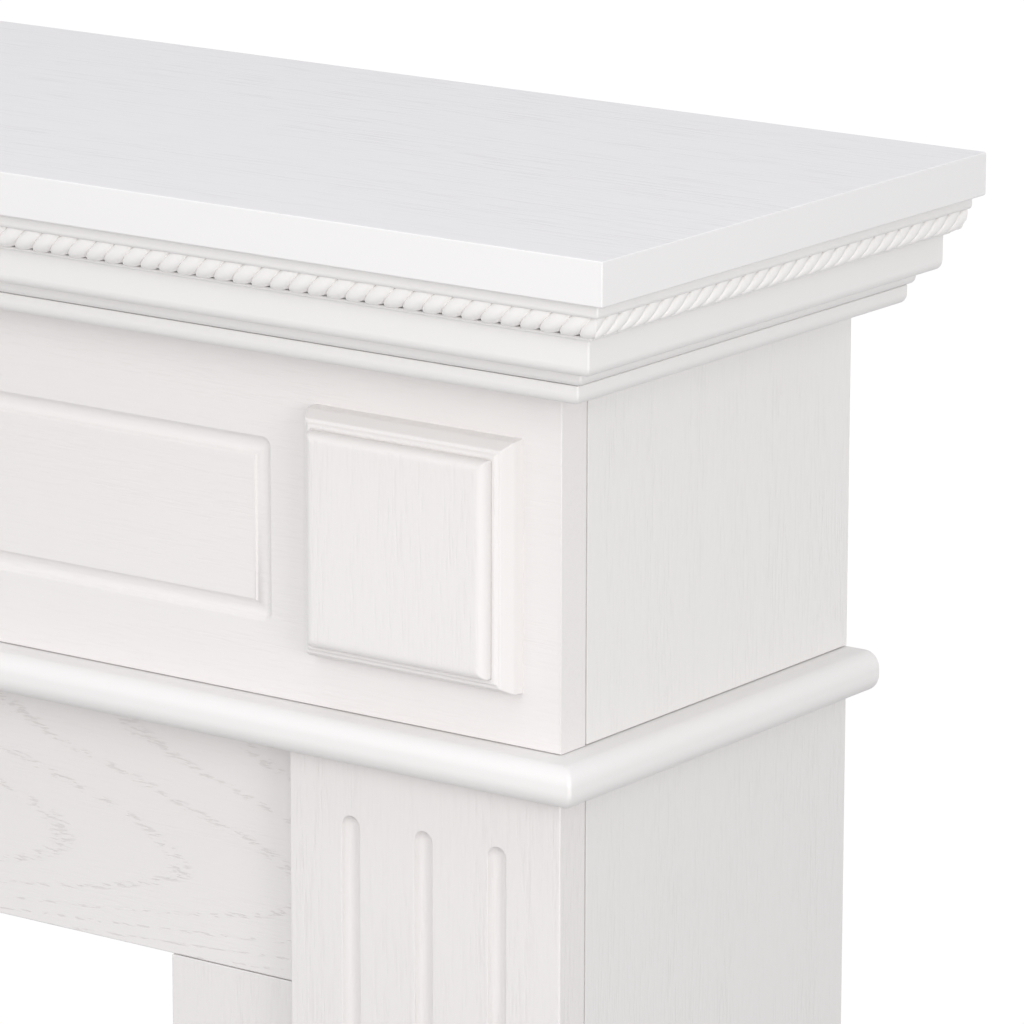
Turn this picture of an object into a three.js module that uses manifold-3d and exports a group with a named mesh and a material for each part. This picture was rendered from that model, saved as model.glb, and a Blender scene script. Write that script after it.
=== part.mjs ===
// A free-standing fireplace mantelpiece of painted boards and mouldings, in millimetres, +Z up.
// The front faces -Y and the back, at +Y, stands against a wall. The origin is on the floor,
// under the middle of the overall width and depth.
import * as THREE from "three";
import { mergeVertices } from "three/addons/utils/BufferGeometryUtils.js";
import Module from "manifold-3d";

// Overall sizes
const HEIGHT = 1031;
const BODY_WIDTH = 1200;
const BODY_DEPTH = 315;

// Boards
const SHELF_THICKNESS = 26;
const SHELF_OVERHANG = 98;
const FRONT_THICKNESS = 26;
const SIDE_THICKNESS = 16;
const BOARD_SEAM = 0.5; // the open line left between two boards that meet
const FRIEZE_HEIGHT = 307;

// The rounded middle board between the frieze and the legs
const MIDDLE_THICKNESS = 27;
const MIDDLE_PROJECTION = 25;
const ARC_STEPS = 5; // flats in a quarter circle

// Legs and the surround of the fire opening
const PILASTER_WIDTH = 207;
const OPENING_WIDTH = 552;
const OPENING_HEIGHT = 505;
const SURROUND_THICKNESS = 16;
const SURROUND_LAP = 33; // how far the surround runs in behind a pilaster

// Flutes cut in each pilaster with a round-nosed cutter
const FLUTE_COUNT = 3;
const FLUTE_SPACING = 56;
const FLUTE_RADIUS = 8;
const FLUTE_DEPTH = 6;
const FLUTE_MARGIN = 39; // from the end of the pilaster that shows to the end of a flute

// The long panel outlined by a round groove in the frieze
const GROOVE_RADIUS = 8;
const GROOVE_DEPTH = 3.2;
const PANEL_END_MARGIN = 227; // from the end of the frieze to the middle of the groove
const PANEL_BOTTOM = 55; // from the foot of the frieze to the middle of the groove
const PANEL_HEIGHT = 104.5; // between the middles of the two long grooves

// The square block on the frieze over each pilaster, with its stepped edge
const BLOCK_SIZE = 158.5;
const BLOCK_END_MARGIN = 28; // from the end of the frieze
const BLOCK_BOTTOM = 34; // from the foot of the frieze
const BLOCK_EDGE_HEIGHT = 9.5; // the upright edge
const BLOCK_EDGE_ROUND = 1.2;
const BLOCK_SLOPE_INSET = 5.5; // where the slope above the edge ends
const BLOCK_SLOPE_HEIGHT = 16.5;
const BLOCK_FILLET_INSET = 9.3; // the narrow flat inside the slope
const BLOCK_FILLET_HEIGHT = 18;
const BLOCK_QUIRK_INSET = 11; // the fine groove at the foot of the field's rounded edge
const BLOCK_FIELD_INSET = 17;
const BLOCK_THICKNESS = 26;

// Cornice: projections are measured out from the body, heights up from the foot of the cornice
const CORNICE_HEIGHT = 78;
const OVOLO_PROJECTION = 41.3;
const OVOLO_HEIGHT = 13.5;
const OVOLO_ROUND = 7.5;
const BED_PROJECTION = 47.7; // the small rounded step under the corona
const BED_HEIGHT = 11.3;
const BED_ROUND = 6;
const CORONA_PROJECTION = 67; // the tall plain face
const CORONA_HEIGHT = 24.5;
const CORONA_ROUND = 7;
const LEDGE_PROJECTION = 72.5; // the thin ledge that the rope lies on
const LEDGE_HEIGHT = 2.2;
const CAP_PROJECTION = 88; // the fillet under the shelf
const CAP_HEIGHT = 10.6;
const CAP_ROUND = 4.5;
const MITRE_GAP = 0.3;

// Rope moulding in the hollow between the ledge and the cap, its top cut off flat under the cap
const ROPE_PROJECTION = 85;
const ROPE_RADIUS = 9.5;
const ROPE_PITCH = 14.1; // along the moulding from strand to strand
const ROPE_LEAN = 6; // how far the top of a strand stands along from its bottom
const ROPE_GROOVE = 3; // depth of the valley between strands
const ROPE_END_STRAND = 12; // from the mitre's outermost point to the first valley
const ROPE_GAP = 0.3; // clearance to what holds it
const ROPE_ROWS = 4; // flats from the bottom of the round to its top
const STRAND_FULLNESS = [0, 0.9, 1]; // across a strand, starting in the valley
const STRAND_TOE = [0.55, 1, 0]; // the same at the bottom, where each strand narrows to a toe
const TOE_ROWS = 2; // how many rows of points, from the bottom, have the toe's shape

// Plinth boards at the foot of each leg
const PLINTH_HEIGHT = 100;
const PLINTH_THICKNESS = 16;
const PLINTH_ROUND = 10;

// Places worked out from the sizes above
const OVERALL_DEPTH = BODY_DEPTH + SHELF_OVERHANG;
const BACK_Y = OVERALL_DEPTH / 2;
const FRONT_Y = BACK_Y - BODY_DEPTH;
const HALF_BODY = BODY_WIDTH / 2;
const SHELF_BOTTOM = HEIGHT - SHELF_THICKNESS;
const FRIEZE_BOTTOM = SHELF_BOTTOM - FRIEZE_HEIGHT;
const LEG_TOP = FRIEZE_BOTTOM - MIDDLE_THICKNESS;
const CORNICE_BOTTOM = SHELF_BOTTOM - CORNICE_HEIGHT;
const SURROUND_Y = FRONT_Y + FRONT_THICKNESS;
const SURROUND_OUTER = HALF_BODY - PILASTER_WIDTH + SURROUND_LAP;
const FLUTE_ROUND_WIDTH = 2 * Math.sqrt(FLUTE_RADIUS ** 2 - (FLUTE_RADIUS - FLUTE_DEPTH) ** 2);

const wasm = await Module();
wasm.setup();

// Finishes
function paintedVeneer() {
  return new THREE.MeshStandardMaterial({ color: 0xebe9e7, roughness: 0.55, metalness: 0 });
}

function paintedMoulding() {
  return new THREE.MeshStandardMaterial({ color: 0xf1f0ee, roughness: 0.42, metalness: 0 });
}

// Solids: a closed geometry becomes a manifold, is joined or cut, and comes back as geometry
function toSolid(geometry) {
  const bare = geometry.index ? geometry.toNonIndexed() : geometry.clone();
  bare.deleteAttribute("normal");
  bare.deleteAttribute("uv");
  const merged = mergeVertices(bare, 1e-4);
  return new wasm.Manifold(
    new wasm.Mesh({
      numProp: 3,
      vertProperties: merged.attributes.position.array,
      triVerts: new Uint32Array(merged.index.array),
    }),
  );
}

function toGeometry(solid) {
  const mesh = solid.getMesh();
  const geometry = new THREE.BufferGeometry();
  geometry.setAttribute("position", new THREE.BufferAttribute(mesh.vertProperties, 3));
  geometry.setIndex(new THREE.BufferAttribute(mesh.triVerts, 1));
  return geometry;
}

// A quarter circle as points, from one angle to another, in degrees
function arc(centreX, centreY, radius, from, to, steps = ARC_STEPS) {
  const points = [];
  for (let i = 0; i <= steps; i++) {
    const angle = THREE.MathUtils.degToRad(from + ((to - from) * i) / steps);
    points.push([centreX + radius * Math.cos(angle), centreY + radius * Math.sin(angle)]);
  }
  return points;
}

// A board given by its low and high corners
function board(name, low, high, material) {
  const size = high.map((value, i) => value - low[i]);
  const mesh = new THREE.Mesh(new THREE.BoxGeometry(...size), material);
  mesh.name = name;
  mesh.position.set(...high.map((value, i) => (value + low[i]) / 2));
  return mesh;
}

// A length of moulding that faces -Y. The profile is (projection, height), with 0 projection on the
// face that carries it. Each end is cut square, or mitred so that it lengthens as it projects.
function mouldingGeometry(profile, length, mitreLeft, mitreRight) {
  const shape = new THREE.Shape(profile.map(([out, up]) => new THREE.Vector2(-out, up)));
  const geometry = new THREE.ExtrudeGeometry(shape, { depth: length, bevelEnabled: false });
  // the extrusion runs along +Z with the height in Y: turn it so that it runs along X
  const place = geometry.attributes.position;
  for (let i = 0; i < place.count; i++) {
    const out = -place.getX(i);
    const up = place.getY(i);
    const left = place.getZ(i) < length / 2;
    let along = place.getZ(i) - length / 2;
    if (left && mitreLeft) along -= out - MITRE_GAP / 2;
    if (!left && mitreRight) along += out - MITRE_GAP / 2;
    place.setXYZ(i, along, -out, up);
  }
  return geometry;
}

// Puts a -Y facing run on the front, or turns it to face right or left
function placeRun(geometry, name, side, alongMiddle, foot, material) {
  const mesh = new THREE.Mesh(geometry, material);
  mesh.name = name;
  if (side === "front") mesh.position.set(alongMiddle, FRONT_Y, foot);
  if (side === "right") {
    mesh.rotation.z = Math.PI / 2;
    mesh.position.set(HALF_BODY, alongMiddle, foot);
  }
  if (side === "left") {
    mesh.rotation.z = -Math.PI / 2;
    mesh.position.set(-HALF_BODY, alongMiddle, foot);
  }
  return mesh;
}

// The three mitred lengths of one moulding that go round the front and both sides of the body
function mouldingRound(name, profile, foot, material) {
  const middle = (FRONT_Y + BACK_Y) / 2;
  return [
    placeRun(mouldingGeometry(profile, BODY_WIDTH, true, true), `${name}_front`, "front", 0, foot, material),
    placeRun(mouldingGeometry(profile, BODY_DEPTH, true, false), `${name}_right`, "right", middle, foot, material),
    placeRun(mouldingGeometry(profile, BODY_DEPTH, false, true), `${name}_left`, "left", middle, foot, material),
  ];
}

// Cornice profiles
function ovoloProfile() {
  return [
    [0, 0],
    ...arc(OVOLO_PROJECTION - OVOLO_ROUND, OVOLO_ROUND, OVOLO_ROUND, -90, 0),
    [OVOLO_PROJECTION, OVOLO_HEIGHT],
    [0, OVOLO_HEIGHT],
  ];
}

function crownProfile() {
  const ledge = BED_HEIGHT + CORONA_HEIGHT;
  const top = CORNICE_HEIGHT - OVOLO_HEIGHT;
  const cap = top - CAP_HEIGHT;
  return [
    [0, 0],
    ...arc(BED_PROJECTION - BED_ROUND, BED_ROUND, BED_ROUND, -90, 0, 3),
    [BED_PROJECTION, BED_HEIGHT],
    ...arc(CORONA_PROJECTION - CORONA_ROUND, BED_HEIGHT + CORONA_ROUND, CORONA_ROUND, -90, 0),
    [CORONA_PROJECTION, ledge],
    [LEDGE_PROJECTION, ledge],
    [LEDGE_PROJECTION, ledge + LEDGE_HEIGHT],
    [CORONA_PROJECTION, ledge + LEDGE_HEIGHT],
    [CORONA_PROJECTION, cap],
    ...arc(CAP_PROJECTION - CAP_ROUND, cap + CAP_ROUND, CAP_ROUND, -90, 0, 3),
    [CAP_PROJECTION, top],
    [0, top],
  ];
}

// The free height between the ledge and the cap, less the rope's clearances
const ROPE_HEIGHT =
  CORNICE_HEIGHT - OVOLO_HEIGHT - BED_HEIGHT - CORONA_HEIGHT - LEDGE_HEIGHT - CAP_HEIGHT - 2 * ROPE_GAP;
const ROPE_FOOT = SHELF_BOTTOM - CAP_HEIGHT - ROPE_GAP - ROPE_HEIGHT;

// One length of rope moulding that faces -Y: a round with leaning strands, a flat back and a flat
// top. It is made over-long, with a valley at its place by the mitre, and cut square or mitred.
function ropeGeometry(length, mitreLeft, mitreRight) {
  const back = CORONA_PROJECTION + ROPE_GAP;
  const centre = ROPE_PROJECTION - ROPE_RADIUS;
  const columns = STRAND_FULLNESS.length;
  const firstValley = length / 2 + ROPE_PROJECTION - ROPE_END_STRAND;
  const anchor = mitreRight ? firstValley : -firstValley;
  const spare = Math.ceil((length + 2 * ROPE_PROJECTION) / ROPE_PITCH) + 2;
  const topHeight = Math.min(ROPE_HEIGHT - ROPE_RADIUS, ROPE_RADIUS - ROPE_GROOVE);
  const topAngle = Math.asin(topHeight / ROPE_RADIUS);
  const rings = (spare + 3) * columns + 1;
  const perRing = ROPE_ROWS + 3;
  const points = [];
  for (let ring = 0; ring < rings; ring++) {
    const strand = ring / columns - (mitreRight ? spare : 2);
    const along = anchor + strand * ROPE_PITCH;
    for (let row = 0; row <= ROPE_ROWS; row++) {
      const share = row / ROPE_ROWS;
      const shape = row < TOE_ROWS ? STRAND_TOE : STRAND_FULLNESS;
      const radius = ROPE_RADIUS - ROPE_GROOVE * (1 - shape[ring % columns]);
      const angle = -Math.PI / 2 + share * (topAngle + Math.PI / 2);
      const up = row === ROPE_ROWS ? topHeight : radius * Math.sin(angle);
      const out = row === ROPE_ROWS ? Math.sqrt(radius ** 2 - up ** 2) : radius * Math.cos(angle);
      points.push([along + ROPE_LEAN * share ** 2, -(centre + out), ROPE_RADIUS + up]);
    }
    points.push([along + ROPE_LEAN, -back, ROPE_RADIUS + topHeight]);
    points.push([along, -back, ROPE_GROOVE]);
  }
  const faces = [];
  for (let ring = 0; ring < rings - 1; ring++) {
    for (let k = 0; k < perRing; k++) {
      const a = ring * perRing + k;
      const b = ring * perRing + ((k + 1) % perRing);
      faces.push(a, a + perRing, b, b, a + perRing, b + perRing);
    }
  }
  const last = (rings - 1) * perRing;
  for (let k = 1; k < perRing - 1; k++) {
    faces.push(0, k, k + 1);
    faces.push(last, last + k + 1, last + k);
  }
  const raw = new THREE.BufferGeometry();
  raw.setAttribute("position", new THREE.Float32BufferAttribute(points.flat(), 3));
  raw.setIndex(faces);
  const trim = mouldingGeometry(
    [
      [back - 1, -1],
      [ROPE_PROJECTION + 1, -1],
      [ROPE_PROJECTION + 1, ROPE_HEIGHT + 1],
      [back - 1, ROPE_HEIGHT + 1],
    ],
    length,
    mitreLeft,
    mitreRight,
  );
  return toGeometry(toSolid(raw).intersect(toSolid(trim)));
}

function ropeRound(material) {
  const middle = (FRONT_Y + BACK_Y) / 2;
  return [
    placeRun(ropeGeometry(BODY_WIDTH, true, true), "rope_front", "front", 0, ROPE_FOOT, material),
    placeRun(ropeGeometry(BODY_DEPTH, true, false), "rope_right", "right", middle, ROPE_FOOT, material),
    placeRun(ropeGeometry(BODY_DEPTH, false, true), "rope_left", "left", middle, ROPE_FOOT, material),
  ];
}

// The path of a round-nosed cutter between two points of the front face, as a solid to cut away
function cutterPath(from, to, radius, depth) {
  const axisY = FRONT_Y - (radius - depth);
  const start = new THREE.Vector3(from[0], axisY, from[1]);
  const end = new THREE.Vector3(to[0], axisY, to[1]);
  const along = end.clone().sub(start);
  const sides = ARC_STEPS * 4;
  const tube = new THREE.CylinderGeometry(radius, radius, along.length(), sides);
  const turn = new THREE.Quaternion().setFromUnitVectors(
    new THREE.Vector3(0, 1, 0),
    along.clone().normalize(),
  );
  tube.applyQuaternion(turn);
  tube.translate(...start.clone().add(end).multiplyScalar(0.5).toArray());
  const ends = [start, end].map((point) => {
    const ball = new THREE.SphereGeometry(radius, sides, sides / 2);
    ball.applyQuaternion(turn);
    ball.translate(...point.toArray());
    return toSolid(ball);
  });
  return toSolid(tube).add(ends[0]).add(ends[1]);
}

function friezeBoard(material) {
  const blank = new THREE.BoxGeometry(BODY_WIDTH, FRONT_THICKNESS, FRIEZE_HEIGHT);
  blank.translate(0, FRONT_Y + FRONT_THICKNESS / 2, FRIEZE_BOTTOM + FRIEZE_HEIGHT / 2);
  const end = HALF_BODY - PANEL_END_MARGIN;
  const low = FRIEZE_BOTTOM + PANEL_BOTTOM;
  const high = low + PANEL_HEIGHT;
  const corners = [
    [-end, low],
    [end, low],
    [end, high],
    [-end, high],
  ];
  let solid = toSolid(blank);
  corners.forEach((corner, i) => {
    const next = corners[(i + 1) % corners.length];
    solid = solid.subtract(cutterPath(corner, next, GROOVE_RADIUS, GROOVE_DEPTH));
  });
  const mesh = new THREE.Mesh(toGeometry(solid), material);
  mesh.name = "frieze_board";
  return mesh;
}

// A square raised block: four-sided rings from the back to the field, made as a lathe of four sides
function friezeBlock(name, centreX, material) {
  const half = BLOCK_SIZE / 2;
  const roundWidth = BLOCK_FIELD_INSET - BLOCK_QUIRK_INSET;
  const roundHeight = BLOCK_THICKNESS - BLOCK_FILLET_HEIGHT;
  const fieldRound = arc(0, 0, 1, 0, 90, 4).map(([x, y]) => [
    half - BLOCK_FIELD_INSET + x * roundWidth,
    BLOCK_FILLET_HEIGHT + y * roundHeight,
  ]);
  const steps = [
    [0, 0],
    [half, 0],
    [half, BLOCK_EDGE_HEIGHT - BLOCK_EDGE_ROUND],
    [half - BLOCK_EDGE_ROUND, BLOCK_EDGE_HEIGHT],
    [half - BLOCK_SLOPE_INSET, BLOCK_SLOPE_HEIGHT],
    [half - BLOCK_FILLET_INSET, BLOCK_FILLET_HEIGHT],
    ...fieldRound,
    [0, BLOCK_THICKNESS],
  ];
  const outline = steps.map(([x, y]) => new THREE.Vector2(x * Math.SQRT2, y));
  const geometry = new THREE.LatheGeometry(outline, 4);
  geometry.rotateY(Math.PI / 4);
  geometry.rotateX(Math.PI);
  const mesh = new THREE.Mesh(geometry, material);
  mesh.name = name;
  mesh.position.set(centreX, FRONT_Y, FRIEZE_BOTTOM + BLOCK_BOTTOM + half);
  return mesh;
}

// The middle board, its front and both ends rounded over the whole thickness
function middleBoard(material) {
  const radius = MIDDLE_THICKNESS / 2;
  const halfWidth = HALF_BODY + MIDDLE_PROJECTION;
  const depth = BODY_DEPTH + MIDDLE_PROJECTION;
  const nose = arc(0, 0, radius, -90, 90, ARC_STEPS * 2);
  const across = new THREE.Shape([
    ...nose.map(([x, y]) => new THREE.Vector2(halfWidth - radius + x, y)),
    ...nose.map(([x, y]) => new THREE.Vector2(radius - halfWidth - x, -y)),
  ]);
  const ends = new THREE.ExtrudeGeometry(across, { depth, bevelEnabled: false });
  ends.rotateX(Math.PI / 2);
  ends.translate(0, BACK_Y, 0);
  const fore = new THREE.Shape([
    ...nose.map(([x, y]) => new THREE.Vector2(depth - radius + x, y)),
    new THREE.Vector2(0, radius),
    new THREE.Vector2(0, -radius),
  ]);
  const front = new THREE.ExtrudeGeometry(fore, { depth: 2 * halfWidth, bevelEnabled: false });
  front.rotateX(Math.PI / 2);
  front.rotateZ(-Math.PI / 2);
  front.translate(halfWidth, BACK_Y, 0);
  const mesh = new THREE.Mesh(toGeometry(toSolid(ends).intersect(toSolid(front))), material);
  mesh.name = "middle_board";
  mesh.position.z = LEG_TOP + radius;
  return mesh;
}

function pilaster(name, side, material) {
  const blank = new THREE.BoxGeometry(PILASTER_WIDTH, FRONT_THICKNESS, LEG_TOP);
  const centreX = side * (HALF_BODY - PILASTER_WIDTH / 2);
  blank.translate(centreX, FRONT_Y + FRONT_THICKNESS / 2, LEG_TOP / 2);
  const bottom = PLINTH_HEIGHT + FLUTE_MARGIN + FLUTE_ROUND_WIDTH / 2;
  const top = LEG_TOP - FLUTE_MARGIN - FLUTE_ROUND_WIDTH / 2;
  let solid = toSolid(blank);
  for (let i = 0; i < FLUTE_COUNT; i++) {
    const x = centreX + (i - (FLUTE_COUNT - 1) / 2) * FLUTE_SPACING;
    solid = solid.subtract(cutterPath([x, bottom], [x, top], FLUTE_RADIUS, FLUTE_DEPTH));
  }
  const mesh = new THREE.Mesh(toGeometry(solid), material);
  mesh.name = name;
  return mesh;
}

// Plinth boards: one across the foot of each pilaster and one along each side, mitred where they meet
function plinthProfile() {
  return [
    [0, 0],
    [PLINTH_THICKNESS, 0],
    ...arc(PLINTH_THICKNESS - PLINTH_ROUND, PLINTH_HEIGHT - PLINTH_ROUND, PLINTH_ROUND, 0, 90),
    [0, PLINTH_HEIGHT],
  ];
}

function plinths(material) {
  const profile = plinthProfile();
  const middle = (FRONT_Y + BACK_Y) / 2;
  const centre = HALF_BODY - PILASTER_WIDTH / 2;
  return [
    placeRun(mouldingGeometry(profile, PILASTER_WIDTH, false, true), "plinth_front_right", "front", centre, 0, material),
    placeRun(mouldingGeometry(profile, PILASTER_WIDTH, true, false), "plinth_front_left", "front", -centre, 0, material),
    placeRun(mouldingGeometry(profile, BODY_DEPTH, true, false), "plinth_side_right", "right", middle, 0, material),
    placeRun(mouldingGeometry(profile, BODY_DEPTH, false, true), "plinth_side_left", "left", middle, 0, material),
  ];
}

// Boards that come in pairs, left and right
function sideBoards(material) {
  const boards = [];
  const front = FRONT_Y + FRONT_THICKNESS + BOARD_SEAM;
  const inner = HALF_BODY - SIDE_THICKNESS;
  for (const [name, side] of [
    ["right", 1],
    ["left", -1],
  ]) {
    const near = Math.min(side * inner, side * HALF_BODY);
    const far = Math.max(side * inner, side * HALF_BODY);
    boards.push(board(`upper_side_${name}`, [near, front, FRIEZE_BOTTOM], [far, BACK_Y, SHELF_BOTTOM], material));
    boards.push(board(`leg_side_${name}`, [near, front, 0], [far, BACK_Y, LEG_TOP], material));
  }
  return boards;
}

// The flat surround behind the pilasters: a wide apron standing on two stiles
function surround(material) {
  const back = SURROUND_Y + SURROUND_THICKNESS;
  const pieces = [
    board("apron", [-SURROUND_OUTER, SURROUND_Y, OPENING_HEIGHT], [SURROUND_OUTER, back, LEG_TOP], material),
  ];
  const top = OPENING_HEIGHT - BOARD_SEAM;
  const inner = OPENING_WIDTH / 2;
  pieces.push(board("stile_right", [inner, SURROUND_Y, 0], [SURROUND_OUTER, back, top], material));
  pieces.push(board("stile_left", [-SURROUND_OUTER, SURROUND_Y, 0], [-inner, back, top], material));
  return pieces;
}

const veneer = paintedVeneer();
const moulding = paintedMoulding();
const blockCentre = HALF_BODY - BLOCK_END_MARGIN - BLOCK_SIZE / 2;
const shelfHalf = HALF_BODY + SHELF_OVERHANG;

const mantelpiece = new THREE.Group();
mantelpiece.add(
  board("shelf", [-shelfHalf, FRONT_Y - SHELF_OVERHANG, SHELF_BOTTOM], [shelfHalf, BACK_Y, HEIGHT], veneer),
  ...mouldingRound("crown", crownProfile(), CORNICE_BOTTOM + OVOLO_HEIGHT, moulding),
  ...ropeRound(moulding),
  ...mouldingRound("ovolo", ovoloProfile(), CORNICE_BOTTOM, moulding),
  friezeBoard(veneer),
  friezeBlock("block_right", blockCentre, veneer),
  friezeBlock("block_left", -blockCentre, veneer),
  middleBoard(moulding),
  pilaster("pilaster_right", 1, veneer),
  pilaster("pilaster_left", -1, veneer),
  ...sideBoards(veneer),
  ...surround(veneer),
  ...plinths(moulding),
);

export default mantelpiece;
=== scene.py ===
# %% [markdown]
# # A painted wooden mantelpiece
# The real object is a fireplace surround of boards and mouldings, sprayed with white satin paint.
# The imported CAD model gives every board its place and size. This script builds each board again
# round that frame, with the eased edges, closed mitres, rope strands and wood grain of the real one.
# Lengths in drawings are in millimetres, as a joiner writes them, and become metres when placed.

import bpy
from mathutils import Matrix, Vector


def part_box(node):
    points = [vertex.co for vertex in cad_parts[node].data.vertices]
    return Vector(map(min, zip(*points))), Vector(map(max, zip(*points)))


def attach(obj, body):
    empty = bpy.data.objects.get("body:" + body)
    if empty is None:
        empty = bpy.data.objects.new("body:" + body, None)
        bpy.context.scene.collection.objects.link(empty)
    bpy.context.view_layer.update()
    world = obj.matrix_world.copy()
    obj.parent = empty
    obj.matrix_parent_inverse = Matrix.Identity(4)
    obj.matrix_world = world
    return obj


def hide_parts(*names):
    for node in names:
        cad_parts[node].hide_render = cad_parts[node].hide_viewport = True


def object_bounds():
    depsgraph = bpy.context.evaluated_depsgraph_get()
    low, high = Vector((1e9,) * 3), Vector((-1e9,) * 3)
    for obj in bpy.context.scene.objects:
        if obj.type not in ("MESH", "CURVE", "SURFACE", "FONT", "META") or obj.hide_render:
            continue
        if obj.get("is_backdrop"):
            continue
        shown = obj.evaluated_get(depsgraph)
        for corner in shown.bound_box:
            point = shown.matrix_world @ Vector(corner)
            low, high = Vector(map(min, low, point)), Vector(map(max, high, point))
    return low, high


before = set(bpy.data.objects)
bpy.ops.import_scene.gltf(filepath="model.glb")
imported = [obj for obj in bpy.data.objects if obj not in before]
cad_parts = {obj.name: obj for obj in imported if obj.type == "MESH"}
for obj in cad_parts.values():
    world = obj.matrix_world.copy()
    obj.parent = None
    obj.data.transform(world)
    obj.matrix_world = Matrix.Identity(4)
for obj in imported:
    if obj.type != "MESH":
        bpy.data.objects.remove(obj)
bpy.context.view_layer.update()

# %% Blender's own tools
from itertools import pairwise
from math import acos, copysign, cos, hypot, pi, radians, sin

import bmesh
import bpy
from mathutils import Matrix, Vector

MM = 0.001
RIGHT = Vector((1, 0, 0))
BACK = Vector((0, 1, 0))
UP = Vector((0, 0, 1))

# %% [markdown]
# ## The body that everything is fixed to
# The frieze, the legs and the sides make a plain box. The mouldings are measured out from its faces,
# so the faces are read from the CAD nodes once, and every piece takes its place from them.

# %% Faces of the body
front_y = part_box("frieze_board")[0].y
back_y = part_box("shelf")[1].y
body_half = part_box("frieze_board")[1].x
frieze_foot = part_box("frieze_board")[0].z
print("front", round(front_y, 4), "back", round(back_y, 4), "half width", round(body_half, 4))

# %% [markdown]
# ## The camera
# The photo looks at the upper right corner from the front right, a little from above, with a long
# lens. The place and turn were worked out from the straight edges of that corner. Building the
# matrix from three directions is safer than angles, because it can't be turned in the wrong order.

# %% The camera
CAMERA_YAW = radians(35.960)
CAMERA_PITCH = radians(14.012)
CAMERA_ROLL = radians(0.116)
CAMERA_PLACE = Vector((2.8472, -3.2563, 1.8147))
SENSOR_WIDTH = 36
FOCAL_PIXELS = 6670.49
FRAME_PIXELS = 1024

level_right = Vector((cos(CAMERA_YAW), sin(CAMERA_YAW), 0))
level_ahead = Vector((-sin(CAMERA_YAW), cos(CAMERA_YAW), 0))
ahead = level_ahead * cos(CAMERA_PITCH) - UP * sin(CAMERA_PITCH)
level_down = ahead.cross(level_right)
image_right = level_right * cos(CAMERA_ROLL) - level_down * sin(CAMERA_ROLL)
image_down = level_right * sin(CAMERA_ROLL) + level_down * cos(CAMERA_ROLL)

camera_data = bpy.data.cameras.new("camera")
camera_data.sensor_width = SENSOR_WIDTH
camera_data.lens = FOCAL_PIXELS / FRAME_PIXELS * SENSOR_WIDTH
camera_data.clip_start = 0.1
camera_data.clip_end = 50
camera = bpy.data.objects.new("camera", camera_data)
facing_photo = Matrix((image_right, -image_down, -ahead)).transposed().to_4x4()
camera.matrix_world = Matrix.Translation(CAMERA_PLACE) @ facing_photo
bpy.context.scene.collection.objects.link(camera)
bpy.context.scene.camera = camera
print("lens", round(camera_data.lens, 2), "mm")

# %% [markdown]
# ## Finished pieces
# Every piece ends in the same way. Doubled points are merged, then faces are turned outwards, and
# the mesh becomes an object at the origin. Smooth shading with sharp corners, and normals weighted
# by area, keeps big flat boards flat while their eased edges catch a round highlight.

# %% From a bmesh to a finished piece
CORNER_ANGLE = radians(50)
MERGE = 1e-6


def finished(bm, name, material, nodes):
    """Turns a bmesh into a named piece that stands for its CAD nodes."""
    bmesh.ops.remove_doubles(bm, verts=bm.verts, dist=MERGE)
    bmesh.ops.recalc_face_normals(bm, faces=bm.faces)
    mesh = bpy.data.meshes.new(name)
    bm.to_mesh(mesh)
    bm.free()
    mesh.shade_smooth()
    mesh.set_sharp_from_angle(angle=CORNER_ANGLE)
    mesh.materials.append(material)
    piece = bpy.data.objects.new(name, mesh)
    bpy.context.scene.collection.objects.link(piece)
    weighted = piece.modifiers.new("flat faces stay flat", "WEIGHTED_NORMAL")
    weighted.keep_sharp = True
    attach(piece, "root")
    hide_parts(*nodes)
    print(name, len(mesh.polygons), "faces")
    return piece


# %% [markdown]
# ## Drawing a profile and carrying it along
# A moulding is one profile pushed along a line. The profile is drawn with sharp corners, and a
# vertex bevel rounds each corner by the radius that the cutter had. Its edges are then extruded
# from station to station. A station is a matrix that says where the profile stands and which way
# its "out" points. At a mitre "out" points along the diagonal, and the mitre closes by itself.

# %% Profiles and stations
def points_in(parts):
    """The points among the parts that a bmesh operator made."""
    return [part for part in parts if isinstance(part, bmesh.types.BMVert)]


def edges_in(parts):
    """The edges among the parts that a bmesh operator made."""
    return [part for part in parts if isinstance(part, bmesh.types.BMEdge)]


def ends_of(edges):
    """Every point that some edges share, once."""
    return list({point for edge in edges for point in edge.verts})


def drawn_profile(bm, corners, closed=False):
    """Joins corners given as (out, up, radius, steps) and rounds those that have a radius."""
    known = set(bm.edges)
    points = [bm.verts.new((out, 0, up)) for out, up, _, _ in corners]
    for pair in pairwise([*points, points[0]] if closed else points):
        bm.edges.new(pair)
    for point, (_, _, radius, steps) in zip(points, corners):
        if radius:
            bmesh.ops.bevel(bm, geom=[point], offset=radius, offset_type="OFFSET", segments=steps,
                            profile=0.5, affect="VERTICES", material=-1)
    return [edge for edge in bm.edges if edge not in known]


def station(place, out, up=UP):
    """The matrix that sets a profile, drawn in millimetres, at a place in the frame."""
    across = out.cross(up).normalized()
    return Matrix.Translation(place) @ Matrix((out * MM, across * MM, up * MM)).transposed().to_4x4()


def swept(bm, profile, stations):
    """Carries profile edges from station to station. Returns the edges that stand at each one."""
    bmesh.ops.transform(bm, matrix=stations[0], verts=ends_of(profile))
    rims = [profile]
    for here, there in pairwise(stations):
        made = bmesh.ops.extrude_edge_only(bm, edges=rims[-1])["geom"]
        bmesh.ops.transform(bm, matrix=there @ here.inverted(), verts=points_in(made))
        rims.append(edges_in(made))
    return rims


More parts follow.
